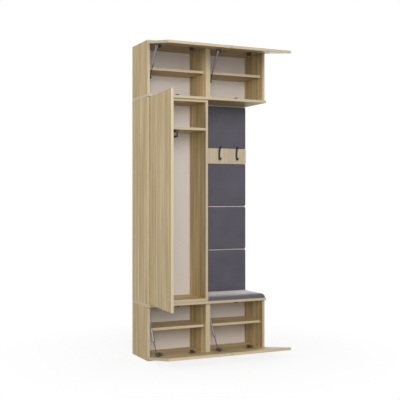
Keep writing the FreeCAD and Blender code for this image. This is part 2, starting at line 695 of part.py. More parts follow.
def end_fitting(at, along, bored):
    """A square socket at the end of a strut, bored where it turns on a real stud."""
    r = v.eye_radius
    half = v.eye_wide / 2
    side = vec(-along.y, along.x).multiply(r)
    back = at.sub(vec(along.x, along.y).multiply(r))
    ahead = at.add(vec(along.x, along.y).multiply(r * 2))
    ring = [back.add(side), ahead.add(side), ahead.sub(side), back.sub(side)]
    face = Part.Face(Part.makePolygon(ring + ring[:1]))
    face.translate(vec(0, 0, -half))
    socket = face.extrude(vec(0, 0, half * 2))
    if not bored:
        return socket
    bore = turned(v.stud_radius + v.stud_fit, at.sub(vec(0, 0, half + v.overrun)),
                  at.add(vec(0, 0, half + v.overrun)))
    return socket.cut(bore)


def strut_tube(start, end, bored):
    """The cylinder with its fitting at the start, aimed at the end."""
    along = end.sub(start).normalize()
    tube = turned(v.tube_radius, start.add(vec(along.x, along.y).multiply(v.eye_radius * 2)),
                  start.add(vec(along.x, along.y).multiply(v.tube_end)))
    bore = turned(v.rod_radius + v.rod_fit,
                  start.add(vec(along.x, along.y).multiply(v.tube_bottom)),
                  start.add(vec(along.x, along.y).multiply(v.tube_end + v.overrun)))
    return tube.cut(bore).fuse(end_fitting(start, along, bored)).removeSplitter()


def strut_rod(start, end, bored):
    """The rod with its fitting at the start, running into the cylinder at the end."""
    whole = end.sub(start)
    reach = whole.Length - v.tube_end + v.rod_hidden
    along = vec(whole.x, whole.y).normalize()
    rod = turned(v.rod_radius, start.add(vec(along.x, along.y).multiply(v.eye_radius * 2)),
                 start.add(vec(along.x, along.y).multiply(reach)))
    return rod.fuse(end_fitting(start, along, bored)).removeSplitter()


def flap_fittings(name):
    """Both cups of a flap and the bracket that holds its strut, in the closed place."""
    frame, angle, hinges = FRAMES[name]
    away = -1 if name.startswith("upper") else 1
    q = v.front_gap
    z = strut_z(name)
    cheek = z + away * (v.eye_wide / 2 + v.stud_gap)
    outer = cheek + away * v.bracket_thick
    low, high = min(cheek, outer), max(cheek, outer)
    foot_end = cheek + away * v.bracket_wide
    p0 = v.ball_along - v.bracket_long / 2
    p1 = v.ball_along + v.bracket_long / 2
    foot = block(p0, p1, q - v.bracket_thick, q, min(cheek, foot_end), max(cheek, foot_end))
    half = v.eye_radius + v.bracket_thick / 2
    web = block(v.ball_along - half, v.ball_along + half, -v.ball_behind, q, low, high)
    crown = block(v.ball_along - half, v.ball_along + half, -v.ball_behind - half, -v.ball_behind,
                  low, high)
    stud = turned(v.stud_radius, vec(v.ball_along, -v.ball_behind, outer),
                  vec(v.ball_along, -v.ball_behind, z - away * v.eye_wide / 2))
    bracket = foot.fuse([web, crown, stud]).removeSplitter()
    return Part.makeCompound([hinge_cup(h) for h in hinges] + [bracket])


def strut_anchor(name):
    """A foot on the cabinet wall with a stud that reaches the strut's fitting."""
    ball, anchor = strut_ends(name)
    to_wall = 1 if name.startswith("upper") else -1
    wall = anchor.z + to_wall * v.strut_wall_gap
    near = anchor.z + to_wall * (v.eye_wide / 2 + v.stud_gap)
    base = vec(anchor.x, anchor.y)
    sides = (wall, wall - to_wall * v.bracket_thick)
    foot = block(anchor.x - v.anchor_radius * 2, anchor.x + v.anchor_radius * 2,
                 anchor.y - v.anchor_radius, anchor.y + v.anchor_radius, min(sides), max(sides))
    stud = turned(v.stud_radius, base.add(vec(0, 0, wall)), base.add(vec(0, 0, near)))
    return foot.fuse(stud).removeSplitter()


def latch(name):
    """A push latch beside the free edge of a closed flap: its housing."""
    top = v.end_row - v.board
    mid = top - v.latch_high / 2
    half = v.latch_wide / 2
    case = block(top - v.latch_high, top, -v.latch_setback - v.latch_long, -v.latch_setback,
                 -half, half)
    mouth = v.front_gap - v.plunger_gap
    deep = mouth - v.plunger_long - v.plunger_travel - v.latch_setback
    side = v.plunger_half + v.plunger_fit
    return case.cut(block(mid - side, mid + side, deep, v.overrun, -side, side))


def plunger(name):
    """The plunger of a push latch, just short of the closed flap."""
    mid = v.end_row - v.board - v.latch_high / 2
    mouth = v.front_gap - v.plunger_gap
    side = v.plunger_half
    return block(mid - side, mid + side, mouth - v.plunger_long, mouth, -side, side)


def fronts_and_fittings():
    arms = []
    anchors = []
    cases = []
    for name in FRAMES:
        frame, angle, hinges = FRAMES[name]
        if name == "door":
            front(name, "door_panel", "width / 2 - reveal")
            place(Part.makeCompound([hinge_cup(z) for z in hinges]), "door_cups", opened(name),
                  "door_hinge_cups")
        else:
            side = name.split("_")[1]
            row = name.split("_")[0]
            flap = "%s_%s_flap" % (row, side)
            front(name, flap, "end_row - board - reveal")
            place(flap_fittings(name), name + "_fittings", opened(name), flap + "_fittings")
            ball, anchor = strut_ends(name)
            ends = (ball, anchor) if row == "upper" else (anchor, ball)
            place(strut_tube(ends[0], ends[1], row == "upper"), name + "_tube", frame,
                  "%s_%s_strut_tube" % (row, side))
            place(strut_rod(ends[1], ends[0], row == "lower"), name + "_rod", frame,
                  "%s_%s_strut_rod" % (row, side))
            place(plunger(name), name + "_plunger", frame, "%s_%s_plunger" % (row, side))
            anchors.append(place(strut_anchor(name), name + "_anchor", frame))
            cases.append(place(latch(name), name + "_latch", frame))
        links = "door_hinge_links" if name == "door" else flap + "_links"
        place(Part.makeCompound([hinge_link(name, z) for z in hinges]), name + "_links", frame,
              links)
        arms.append(place(Part.makeCompound([hinge_arm(name, z) for z in hinges]),
                          name + "_arms", frame))
    keep(group("arms_group", arms), "hinge_arms")
    keep(group("anchors_group", anchors), "strut_anchors")
    keep(group("latches_group", cases), "latch_housings")


fronts_and_fittings()


def hanging_rail():
    """The channel under the hat shelf, open in front, and the rod that pulls out of it."""
    x = "(%s / 2)" % LEFT
    half = "rail_wide / 2"
    y0 = "%s + rail_front" % FRONT
    y1 = "%s + rail_front + rail_long" % FRONT
    z0 = "%s - rail_high" % HAT_UNDER
    blank = box("rail_blank", "%s - %s" % (x, half), "%s + %s" % (x, half), y0, y1, z0, HAT_UNDER)
    hollow = box("rail_hollow", "%s - %s + rail_wall" % (x, half), "%s + %s - rail_wall" % (x, half),
                 "%s - overrun" % y0, "%s - rail_wall" % y1, "%s + rail_wall" % z0,
                 "%s - rail_wall" % HAT_UNDER)
    slot = box("rail_slot_cut", "%s - rail_slot / 2" % x, "%s + rail_slot / 2" % x,
               "%s - overrun" % y0, "%s - rail_wall" % y1, "%s - overrun" % z0,
               "%s + rail_wall + overrun" % z0)
    keep(cut("rail_cut", blank, [hollow, slot]), "hanging_rail")
    back = "%s - rail_wall - rail_play" % y1
    slider = box("rod_slider", "%s - %s + rail_wall + rail_play" % (x, half),
                 "%s + %s - rail_wall - rail_play" % (x, half), y0, back,
                 "%s + rail_wall + rail_play" % z0, "%s - rail_wall - rail_play" % HAT_UNDER)
    axis_z = "%s - hang_drop" % HAT_UNDER
    legs = []
    for name, a, b in (("front", y0, "%s + hang_leg" % y0), ("back", "%s - hang_leg" % back, back)):
        legs.append(box("rod_leg_" + name, "%s - rail_slot / 2 + rail_play" % x,
                        "%s + rail_slot / 2 - rail_play" % x, a, b, axis_z,
                        "%s + rail_wall + rail_play * 2" % z0))
    rod = cylinder("rod_bar", "hang_radius", "rail_long - rail_wall - rail_play", x, y0, axis_z,
                   (0, 1, 0))
    keep(fuse("rod_fuse", [slider, rod] + legs), "hanging_rod")


hanging_rail()


def niche():
    """Backing board, hook board and soft panels of the open niche."""
    keep(box("backing_board", "0", NICHE_RIGHT, WALL_FACE, BACK, SEAT, UPPER_PLATE),
         "niche_backing_board")
    top = "%s - hook_board_top" % UPPER_PLATE
    keep(box("hook_board_box", "panel_side_gap", NICHE_RIGHT,
             "%s - hook_board_thick" % WALL_FACE, WALL_FACE, "%s - hook_board_high" % top, top),
         "hook_board")
    low = "%s - hook_board_high" % top
    rows = int(v.panel_rows)
    pitch = "((%s + panel_gap - %s - panel_foot) / panel_rows)" % (low, SEAT)
    ends = [(top, "%s - panel_gap" % UPPER_PLATE)]
    ends += [("%s + panel_gap - %s * %d" % (low, pitch, i + 1), "%s - %s * %d" % (low, pitch, i))
             for i in range(rows)]
    for i, (z0, z1) in enumerate(ends, start=1):
        body, pad = block_body("soft_panel_%d" % i, "panel_side_gap", NICHE_RIGHT,
                               "%s - panel_thick" % WALL_FACE, WALL_FACE, z0, z1)
        front_y = v_of("%s - panel_thick" % WALL_FACE)
        rounded(body, pad, "panel_round", lambda middle, along: abs(middle.y - front_y) < v.panel_gap / 2)
        keep(body, "soft_panel_%d" % i)


niche()


# Centre line of a coat hook: reach and height, each as a share of the whole
HOOK_shares = (
    (0.97, 0.17), (0.82, 0.065), (0.5, 0.035), (0.18, 0.085), (0.0, 0.22), (0.0, 0.38),
    (0.0, 0.52), (0.13, 0.68), (0.45, 0.85), (0.9, 0.97),
)


def mitred_upright(path, half):
    """The same for a path in an upright plane square to the wall."""
    flat = mitred([vec(point.y, point.z) for point in path], half)
    return [FreeCAD.Vector(path[0].x, point.x, point.y) for point in flat]


def coat_hook(x):
    """A flat bar hook: a shank on its board, a long upper arm and a short foot."""
    t = v.hook_thick / 2
    face = v_of("%s - hook_board_thick" % WALL_FACE)
    top = v_of("%s - hook_board_top + hook_top" % UPPER_PLATE)
    low = top - v.hook_high
    x0 = x - v.hook_wide / 2
    reach = v.hook_reach - v.hook_thick
    middle = [FreeCAD.Vector(x0, face - t - a * reach, low + b * v.hook_high)
              for a, b in HOOK_shares]
    ring = mitred_upright(middle, t) + mitred_upright(middle, -t)[::-1]
    bar = Part.Face(Part.makePolygon(ring + ring[:1])).extrude(FreeCAD.Vector(v.hook_wide, 0, 0))
    front_of_board = Part.makeBox(v.hook_wide * 2, v.hook_reach * 2, v.hook_high * 2,
                                  FreeCAD.Vector(x0 - v.overrun, face - v.hook_reach * 2,
                                                 low - v.overrun))
    return bar.common(front_of_board)


hooks = [place(coat_hook(v.hook_first + i * v.hook_pitch), "coat_hook_%d" % i,
               FreeCAD.Placement()) for i in range(int(v.hook_count))]
keep(group("hooks_group", hooks), "coat_hooks")


def cushion():
    """The seat cushion on the bench, full round on its two open edges."""
    y0 = "%s + cushion_lip" % PLATE_FRONT
    y1 = "%s - panel_thick - cushion_gap" % WALL_FACE
    x1 = "%s - cushion_end" % RIGHT
    body, pad = block_body("seat_cushion", "cushion_gap", x1, y0, y1, SEAT,
                           "%s + cushion_high" % SEAT)
    right = v_of(x1)
    front_y = v_of(y0)
    roof = v_of("%s + cushion_high" % SEAT)
    corner = rounded(body, pad, "cushion_corner", lambda middle, along:
                     abs(along.z) > v.upright_share and middle.x > right - v.overrun
                     and middle.y < front_y + v.overrun)
    reach = v.cushion_corner
    big = rounded(body, corner, "cushion_round", lambda middle, along:
                  middle.z > roof - v.overrun / 2
                  and (middle.x > right - reach or middle.y < front_y + reach))
    keep(body, "seat_cushion")


cushion()


def wall_brackets():
    """Two steel angles on the roof, with a screw hole each, that hold the carcass to a wall."""
    pieces = []
    half = "wall_wide / 2"
    for name, x in (("left", "%s + wall_edge" % LEFT), ("right", "%s - wall_edge" % RIGHT)):
        flat = box("wall_flat_" + name, "%s - %s" % (x, half), "%s + %s" % (x, half),
                   "%s - wall_leg" % BACK, BACK, "height", "height + wall_sheet")
        upright = box("wall_upright_" + name, "%s - %s" % (x, half), "%s + %s" % (x, half),
                      "%s - wall_sheet" % BACK, BACK, "height", "height + wall_leg")
        hole = cylinder("wall_hole_" + name, "wall_hole", "wall_sheet + overrun * 2", x,
                        "%s - wall_sheet - overrun" % BACK, "height + wall_leg / 2", (0, 1, 0))
        pieces.append(cut("wall_angle_" + name, fuse("wall_fuse_" + name, [flat, upright]), [hole]))
    keep(group("wall_group", pieces), "wall_brackets")


wall_brackets()

doc.recompute()
for obj in doc.Objects:
    if "Invalid" in obj.State or "Error" in obj.State:
        raise ValueError("%s failed: %s" % (obj.Name, obj.State))
for obj in PARTS:
    if obj.Shape.isNull() or not obj.Shape.isValid():
        raise ValueError("%s has no valid shape" % obj.Label)

os.makedirs("parts", exist_ok=True)
for obj in PARTS:
    obj.Shape.exportStep("parts/%s.step" % obj.Label)
    print("%-28s solids %2d  volume %9.1f cm3" % (obj.Label, len(obj.Shape.Solids),
                                                  obj.Shape.Volume / 1000))
print(len(PARTS), "parts")
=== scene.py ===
import math
import bpy
import bmesh
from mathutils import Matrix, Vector


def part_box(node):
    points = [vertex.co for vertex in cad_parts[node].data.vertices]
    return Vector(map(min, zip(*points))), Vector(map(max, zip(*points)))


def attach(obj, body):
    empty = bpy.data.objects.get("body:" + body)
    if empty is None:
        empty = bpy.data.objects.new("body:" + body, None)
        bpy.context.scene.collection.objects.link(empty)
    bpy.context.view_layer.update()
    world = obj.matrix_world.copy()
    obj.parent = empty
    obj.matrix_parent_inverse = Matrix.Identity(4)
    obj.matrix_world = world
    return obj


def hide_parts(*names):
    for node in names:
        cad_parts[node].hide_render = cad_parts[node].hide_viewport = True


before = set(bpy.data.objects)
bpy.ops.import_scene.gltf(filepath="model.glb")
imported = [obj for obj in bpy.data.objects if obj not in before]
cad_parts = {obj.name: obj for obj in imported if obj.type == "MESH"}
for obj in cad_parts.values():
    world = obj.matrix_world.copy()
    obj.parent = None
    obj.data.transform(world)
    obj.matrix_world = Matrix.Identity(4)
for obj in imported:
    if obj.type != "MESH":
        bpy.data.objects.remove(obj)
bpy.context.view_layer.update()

# Carcass sizes in metres: origin on the floor under the middle, front towards -Y. SEAT is
# the height that the cushion rests at
WIDTH = 0.920
DEPTH = 0.295
HEIGHT = 2.200
SEAT = 0.388
FRONT = -DEPTH / 2
BACK = DEPTH / 2

# The photograph's viewpoint, level and to the left of the front: place and reach in metres,
# turn in degrees, lens and sensor in millimetres
CAMERA_PLACE = (-2.4396, -5.2105, 1.115)
CAMERA_TURN = -25.149
CAMERA_LENS = 71.38
CAMERA_SENSOR = 36
CAMERA_SHIFT = -0.0044
CAMERA_REACH = 60


def aim_camera():
    data = bpy.data.cameras.new("photo_camera")
    data.sensor_width = CAMERA_SENSOR
    data.lens = CAMERA_LENS
    data.shift_y = CAMERA_SHIFT
    data.clip_end = CAMERA_REACH
    camera = bpy.data.objects.new("photo_camera", data)
    camera.location = CAMERA_PLACE
    camera.rotation_euler = (math.radians(90), 0, math.radians(CAMERA_TURN))
    bpy.context.collection.objects.link(camera)
    bpy.context.scene.camera = camera


class Value:
    """A shader socket that takes + - * / and the few functions that patterns need."""

    def __init__(self, tree, socket):
        self.tree = tree
        self.socket = socket

    def math(self, operation, other=None):
        node = self.tree.nodes.new("ShaderNodeMath")
        node.operation = operation
        for slot, item in enumerate((self, other)):
            if isinstance(item, Value):
                self.tree.links.new(item.socket, node.inputs[slot])
            elif item is not None:
                node.inputs[slot].default_value = item
        return Value(self.tree, node.outputs[0])

    def __add__(self, other):
        return self.math("ADD", other)

    def __sub__(self, other):
        return self.math("SUBTRACT", other)

    def __mul__(self, other):
        return self.math("MULTIPLY", other)

    def __truediv__(self, other):
        return self.math("DIVIDE", other)

    def power(self, other):
        return self.math("POWER", other)

    def above(self, other):
        return self.math("GREATER_THAN", other)

    def limit(self):
        return self.math("MAXIMUM", 0.0).math("MINIMUM", 1.0)

    def sine(self):
        return self.math("SINE")


class Finish:
    """One material under construction: its tree, its shader and a way to add nodes."""

    def __init__(self, name):
        self.material = bpy.data.materials.new(name)
        self.material.use_nodes = True
        self.tree = self.material.node_tree
        self.tree.nodes.clear()
        self.shader = self.tree.nodes.new("ShaderNodeBsdfPrincipled")
        self.output = self.tree.nodes.new("ShaderNodeOutputMaterial")
        self.tree.links.new(self.shader.outputs[0], self.output.inputs["Surface"])

    def node(self, kind, settings=None, sockets=None):
        """A node of a type, its settings set first, then its sockets' values or links."""
        node = self.tree.nodes.new("ShaderNode" + kind)
        for key, item in (settings or {}).items():
            setattr(node, key, item)
        for key, item in (sockets or {}).items():
            self.feed(node.inputs[key], item)
        return node

    def feed(self, socket, item):
        """Links a value or a socket, or sets a constant; a colour gets its alpha."""
        if isinstance(item, Value):
            self.tree.links.new(item.socket, socket)
        elif isinstance(item, bpy.types.NodeSocket):
            self.tree.links.new(item, socket)
        elif socket.type == "RGBA":
            socket.default_value = tuple(item) + (1,)
        else:
            socket.default_value = item

    def value(self, socket):
        return Value(self.tree, socket)

    def here(self):
        """Object coordinates."""
        return self.node("TexCoord").outputs["Object"]

    def place(self, offset=(0, 0, 0), scale=(1, 1, 1), where=None):
        """Object coordinates, or given ones, moved and scaled for a pattern."""
        return self.node("Mapping", None, {"Vector": where or self.here(), "Location": offset,
                                           "Scale": scale}).outputs[0]

    def along(self, direction):
        """How far a point of the object lies along a direction, in metres."""
        node = self.node("VectorMath", {"operation": "DOT_PRODUCT"},
                         {0: self.here(), 1: tuple(direction)})
        return self.value(node.outputs["Value"])

    def board(self, axes):
        """Coordinates of a board: along its grain, across it and through it."""
        parts = [self.along(axis) for axis in axes]
        return self.node("CombineXYZ", None, dict(enumerate(parts))).outputs[0]

    def noise(self, vector, scale, detail=2.0, rough=0.5, warp=0.0):
        node = self.node("TexNoise", None, {"Vector": vector, "Scale": scale, "Detail": detail,
                                            "Roughness": rough, "Distortion": warp})
        return self.value(node.outputs[0])

    def ramp(self, factor, stops):
        node = self.node("ValToRGB", None, {"Fac": factor})
        elements = node.color_ramp.elements
        while len(elements) < len(stops):
            elements.new(0.5)
        for element, (place, colour) in zip(elements, stops):
            element.position = place
            element.color = colour + (1,)
        return node.outputs[0]

    def mix(self, factor, first, second):
        node = self.node("Mix", {"data_type": "RGBA"}, {"Factor": factor, 6: first, 7: second})
        return node.outputs[2]

    def bump(self, height, strength, distance):
        node = self.node("Bump", None, {"Height": height, "Strength": strength,
                                        "Distance": distance})
        self.feed(self.shader.inputs["Normal"], node.outputs[0])

    def set(self, **sockets):
        for key, item in sockets.items():
            self.feed(self.shader.inputs[key.replace("_", " ")], item)


def srgb(red, green, blue):
    """A colour written as it shows on a screen, 0 to 255, in the linear units of a shader."""
    def linear(part):
        part = part / 255
        return part / 12.92 if part <= 0.04045 else ((part + 0.055) / 1.055) ** 2.4
    return (linear(red), linear(green), linear(blue))


def shaded(colour, factor, lift=0.0):
    return tuple(part * factor + lift for part in colour)


# Oak: how much its noises are squeezed along, across and through the grain, its colours, and
# the widths in metres of the banding on an edge and of the glue seam beside it
PLANK_SCALE = (0.6, 5.7, 5.7)
FIBRE_SCALE = (0.3, 26.0, 26.0)
PORE_SCALE = (0.8, 81.0, 81.0)
OAK_TONES = ((0.16, srgb(154, 126, 78)), (0.38, srgb(182, 156, 105)),
             (0.56, srgb(199, 176, 126)), (0.80, srgb(221, 203, 159)))
RING_TONE = srgb(163, 134, 86)
PORE_TONE = srgb(130, 103, 64)
WASHED_TONE = srgb(214, 206, 189)
BANDING_TONES = (srgb(196, 179, 147), srgb(209, 194, 165))
SEAM_TONE = srgb(120, 98, 66)
SEAM = 0.0003
BANDING = 0.0009


def oak(name, axes, offset, band, paler):
    """Oak-grain laminate, with pale banding on the cut edges.

    axes are the board's directions along, across and through the grain, offset picks its
    stretch of figure, and band lists (direction, limit) pairs: past the limit along the
    direction lies a banded edge. paler washes the figure out by that share.
    """
    finish = Finish(name)
    board = finish.board(axes)
    planks = finish.place(offset, PLANK_SCALE, board)
    fibres = finish.place(offset, FIBRE_SCALE, board)
    pores_at = finish.place(offset, PORE_SCALE, board)
    broad = finish.noise(planks, 1.7, 3.0, 0.55, 0.25)
    bands = finish.noise(fibres, 2.1, 4.0, 0.62, 0.3)
    streaks = finish.noise(fibres, 5.2, 3.0, 0.6, 0.1)
    fine = finish.noise(fibres, 15.0, 5.0, 0.7, 0.1)
    pores = finish.noise(pores_at, 9.0, 2.0, 0.5)
    rings = ((broad * 70.0 + bands * 3.0).sine() * 0.5 + 0.5).power(3.0)
    figure = ((broad - 0.5) * 0.75 + (bands - 0.5) * 1.15 + (streaks - 0.5) * 0.85
              + (fine - 0.5) * 0.5 + 0.5)
    pore_mask = ((pores - 0.60) * 9.0).limit()
    colour = finish.ramp(figure.limit(), OAK_TONES)
    colour = finish.mix(rings * 0.16, colour, RING_TONE)
    colour = finish.mix(pore_mask * 0.34, colour, PORE_TONE)
    colour = finish.mix(paler, colour, WASHED_TONE)
    edge = seam = None
    for direction, limit in band:
        reach = finish.along(direction)
        past, near = reach.above(limit), reach.above(limit - SEAM)
        edge = past if edge is None else edge.math("MAXIMUM", past)
        seam = near if seam is None else seam.math("MAXIMUM", near)
    colour = finish.mix(seam * 0.6, colour, SEAM_TONE)
    colour = finish.mix(edge, colour, finish.mix(fine, *BANDING_TONES))
    finish.set(Base_Color=colour, Roughness=(fine * 0.10 + 0.42), Specular_IOR_Level=0.5)
    finish.bump(fine * 0.6 - pore_mask * 0.5, 0.12, 0.0004)
    return finish.material


def hardboard():
    """White painted hardboard, faintly mottled."""
    finish = Finish("white_hardboard")
    mottle = finish.noise(finish.place(), 160.0, 4.0, 0.6)
    colour = finish.mix(mottle, srgb(214, 206, 198), srgb(221, 214, 207))
    finish.set(Base_Color=colour, Roughness=mottle * 0.1 + 0.5)
    finish.bump(finish.noise(finish.place(), 700.0, 2.0, 0.5), 0.05, 0.0002)
    return finish.material


# Cloth: the yarns' pitch in metres, how much their mottling is squeezed across a yarn, and
# their colours
YARN_PITCH = 0.0016
YARN_STRETCH = 14
DARK_YARN = srgb(74, 72, 79)
PALE_YARN = srgb(134, 131, 141)


def cloth(name, shade, sheen=0.2, sheen_rough=0.45, sheen_tint=(1, 1, 1)):
    """Closely woven grey furnishing cloth: crossed yarns with mixed dark and pale threads."""
    finish = Finish(name)
    where = finish.place()
    split = finish.node("SeparateXYZ", None, {"Vector": where})
    x, y, z = (finish.value(split.outputs[i]) for i in range(3))
    wander = finish.noise(where, 240.0, 2.0, 0.5) * 0.9
    pitch = 2 * math.pi / YARN_PITCH
    warp = ((x + y) * pitch + wander).sine()
    weft = ((z + y * 0.6) * pitch + wander).sine()
    weave = (warp * weft) * 0.5 + 0.5
    stretch = YARN_STRETCH
    yarn = finish.noise(finish.place(scale=(1, 1, stretch)), 420.0, 2.0, 0.6)
    cross = finish.noise(finish.place(scale=(stretch, stretch, 1)), 420.0, 2.0, 0.6)
    melange = yarn * 0.5 + cross * 0.5
    cloud = finish.noise(where, 7.0, 3.0, 0.6)
    tone = (weave * 0.30 + melange * 0.55 + cloud * 0.15).limit()
    colour = finish.ramp(tone, ((0.28, shaded(DARK_YARN, shade)),
                                (0.68, shaded(PALE_YARN, shade))))
    finish.set(Base_Color=colour, Roughness=0.92, Sheen_Weight=sheen,
               Sheen_Roughness=sheen_rough, Sheen_Tint=sheen_tint, Specular_IOR_Level=0.25)
    finish.bump(weave * 0.7 + melange * 0.5, 0.45, 0.0006)
    return finish.material


def coated_metal(name, colour, rough):
    """Powder-coated metal with a fine orange-peel skin."""
    finish = Finish(name)
    skin = finish.noise(finish.place(), 1400.0, 2.0, 0.5)
    wear = finish.noise(finish.place(), 90.0, 4.0, 0.6)
    shade = finish.mix(wear * 0.5, colour, shaded(colour, 1.5, 0.004))
    finish.set(Base_Color=shade, Roughness=wear * 0.12 + rough, Metallic=0.2,
               Specular_IOR_Level=0.5)
    finish.bump(skin, 0.12, 0.0003)
    return finish.material


def bare_metal(name, colour, rough, brush):
    """Plated or drawn steel: fine lines, squeezed by the brush scales, and cloudy plating."""
    finish = Finish(name)
    lines = finish.noise(finish.place(scale=brush), 260.0, 3.0, 0.6)
    cloud = finish.noise(finish.place(), 45.0, 3.0, 0.6)
    shade = finish.mix(cloud * 0.5, colour, shaded(colour, 0.72))
    finish.set(Base_Color=shade, Roughness=(lines * 0.14 + cloud * 0.08 + rough), Metallic=1.0)
    finish.bump(lines, 0.06, 0.0002)
    return finish.material


def moulded_plastic(name, colour, rough):
    finish = Finish(name)
    grain = finish.noise(finish.place(), 1800.0, 2.0, 0.5)
    cloud = finish.noise(finish.place(), 50.0, 2.0, 0.5)
    shade = finish.mix(cloud * 0.6, colour, shaded(colour, 1.35, 0.003))
    finish.set(Base_Color=shade, Roughness=cloud * 0.1 + rough)
    finish.bump(grain, 0.1, 0.0002)
    return finish.material


# Brush scales: fine lines that lie level, that stand upright, or neither
LEVEL, UPRIGHT, EVEN = (1, 1, 30), (30, 30, 1), (1, 1, 1)
STEEL = bare_metal("nickel_plated_steel", srgb(124, 121, 117), 0.34, LEVEL)
SILVER = bare_metal("drawn_silver_steel", srgb(131, 129, 126), 0.36, UPRIGHT)
DARK_ROD = bare_metal("dark_hardened_rod", srgb(72, 72, 76), 0.24, UPRIGHT)
BLACK_METAL = coated_metal("black_powder_coat", srgb(26, 26, 29), 0.38)
BLACK_PLASTIC = moulded_plastic("black_moulded_plastic", srgb(20, 20, 21), 0.5)
WHITE_BOARD = hardboard()
CLOTH = cloth("grey_furnishing_cloth", 0.78)
VELVET = cloth("grey_seat_cloth", 0.62, 1.0, 0.62, (1.0, 0.92, 0.92))
SCREW = bare_metal("screw_zinc", srgb(168, 166, 160), 0.3, EVEN)
CAP = moulded_plastic("oak_tone_cap", srgb(190, 168, 130), 0.5)
STOP = moulded_plastic("clear_soft_stop", srgb(196, 196, 194), 0.35)

# Each board's grain direction and its own stretch of the oak's figure
AXES = {"x": ((1, 0, 0), (0, 1, 0), (0, 0, 1)), "y": ((0, 1, 0), (1, 0, 0), (0, 0, 1)),
        "z": ((0, 0, 1), (1, 0, 0), (0, 1, 0))}
OAK_BOARDS = {
    "upper_left_side": ("z", (0.31, 0.12, 0.4)), "upper_right_side": ("z", (1.31, 0.52, 1.4)),
    "bench_left_side": ("z", (2.31, 0.92, 2.4)), "bench_right_side": ("z", (3.1, 1.12, 0.7)),
    "wardrobe_left_side": ("z", (0.7, 2.12, 3.4)), "wardrobe_right_side": ("z", (4.31, 0.2, 5.4)),
    "centre_partitions": ("z", (5.31, 3.12, 0.9)), "door_panel": ("z", (6.31, 1.7, 2.9)),
    "upper_left_flap": ("y", (7.31, 4.12, 6.4)), "upper_right_flap": ("y", (8.9, 5.12, 7.4)),
    "lower_left_flap": ("y", (9.31, 6.12, 8.4)), "lower_right_flap": ("y", (1.9, 7.12, 9.4)),
    "upper_top_board": ("x", (2.9, 8.12, 1.1)), "upper_bottom_plate": ("x", (3.9, 9.12, 2.1)),
    "bench_top_plate": ("x", (4.9, 1.62, 3.1)), "bench_bottom_board": ("x", (5.9, 2.62, 4.1)),
    "wardrobe_top_board": ("x", (6.9, 3.62, 5.1)), "wardrobe_bottom_board": ("x", (7.9, 4.6, 6.1)),
    "hat_shelf": ("x", (8.3, 5.6, 7.1)), "bay_shelves": ("x", (9.3, 6.6, 8.1)),
    "hook_board": ("z", (2.45, 3.3, 4.7)),
}
HOOK_BOARD_WASH = 0.5
OTHER_FINISHES = {
    "bay_backs": WHITE_BOARD, "wardrobe_back": WHITE_BOARD, "niche_backing_board": WHITE_BOARD,
    "shelf_pins": STEEL, "hinge_arms": STEEL, "strut_anchors": STEEL, "hanging_rail": STEEL,
    "wall_brackets": STEEL, "door_hinge_cups": STEEL, "latch_housings": BLACK_PLASTIC,
    "hanging_rod": DARK_ROD, "coat_hooks": BLACK_METAL,
}
FINISH_BY_ENDING = {
    "_strut_tube": SILVER, "_strut_rod": DARK_ROD, "_plunger": BLACK_PLASTIC,
    "_fittings": STEEL, "_links": STEEL,
}


def dress(node, material):
    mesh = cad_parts[node].data
    mesh.materials.clear()
    mesh.materials.append(material)


def banded(node, ways):
    """Where the edge banding starts on the sides of a board that face these ways."""
    corners = [v.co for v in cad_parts[node].data.vertices]
    return [(way, max(way.dot(corner) for corner in corners) - BANDING) for way in ways]


def both_ways(*directions):
    return [way for direction in directions for way in (direction, -direction)]


def dress_carcass():
    """Oak on the boards, fronts turned as they stand open, then the plainer finishes."""
    along, forward, up = Vector((1, 0, 0)), Vector((0, -1, 0)), Vector((0, 0, 1))
    for node, (grain, offset) in OAK_BOARDS.items():
        axes = AXES[grain]
        ways = [forward]
        paler = 0.0
        if node == "hook_board":
            ways = both_ways(along, up)
            paler = HOOK_BOARD_WASH
        elif node.endswith("_plate"):
            ways += both_ways(along)
        elif node == "door_panel" or node.endswith("_flap"):
            front = "door" if node == "door_panel" else node[:-len("_flap")]
            inward, outward, side = (facing(front, *way, True)
                                     for way in ((1, 0, 0), (0, 1, 0), (0, 0, 1)))
            axes = (side, inward, outward) if front == "door" else (inward, side, outward)
            ways = both_ways(inward, side)
        dress(node, oak("oak_" + node, axes, offset, banded(node, ways), paler))
    for node, material in OTHER_FINISHES.items():
        dress(node, material)
    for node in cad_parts:
        for ending, material in FINISH_BY_ENDING.items():
            if node.endswith(ending):
                dress(node, material)


# Where a fitting sits: p runs inward from the outer edge of the carcass, q forward of its
# front and z along the hinge, in millimetres

HINGE_AXIS = (12.0, 20.0)
FLAP_OPEN = math.radians(81)
DOOR_OPEN = math.radians(94.3)
FLAP_HINGES = (-125, 125)
DOOR_HINGES = (-600, 0, 600)
FLAPS = ("upper_left", "upper_right", "lower_left", "lower_right")
FRONTS = FLAPS + ("door",)


def turned_open(front, p, q):
    """A point of a closed front, once the front stands open."""
    angle = DOOR_OPEN if front == "door" else FLAP_OPEN
    dp, dq = p - HINGE_AXIS[0], q - HINGE_AXIS[1]
    return (HINGE_AXIS[0] + dp * math.cos(angle) - dq * math.sin(angle),
            HINGE_AXIS[1] + dp * math.sin(angle) + dq * math.cos(angle))


def spot(front, p, q, z, on_front=False):
    """A fitting's place in the room, on the carcass or on an open front."""
    if on_front:
        p, q = turned_open(front, p, q)
    if front == "door":
        return Vector((p / 1000 - WIDTH / 2, FRONT - q / 1000, HEIGHT / 2 - z / 1000))
    middle = (-1 if front.endswith("left") else 1) * WIDTH / 4
    if front.startswith("upper"):
        return Vector((middle - z / 1000, FRONT - q / 1000, HEIGHT - p / 1000))
    return Vector((middle + z / 1000, FRONT - q / 1000, p / 1000))


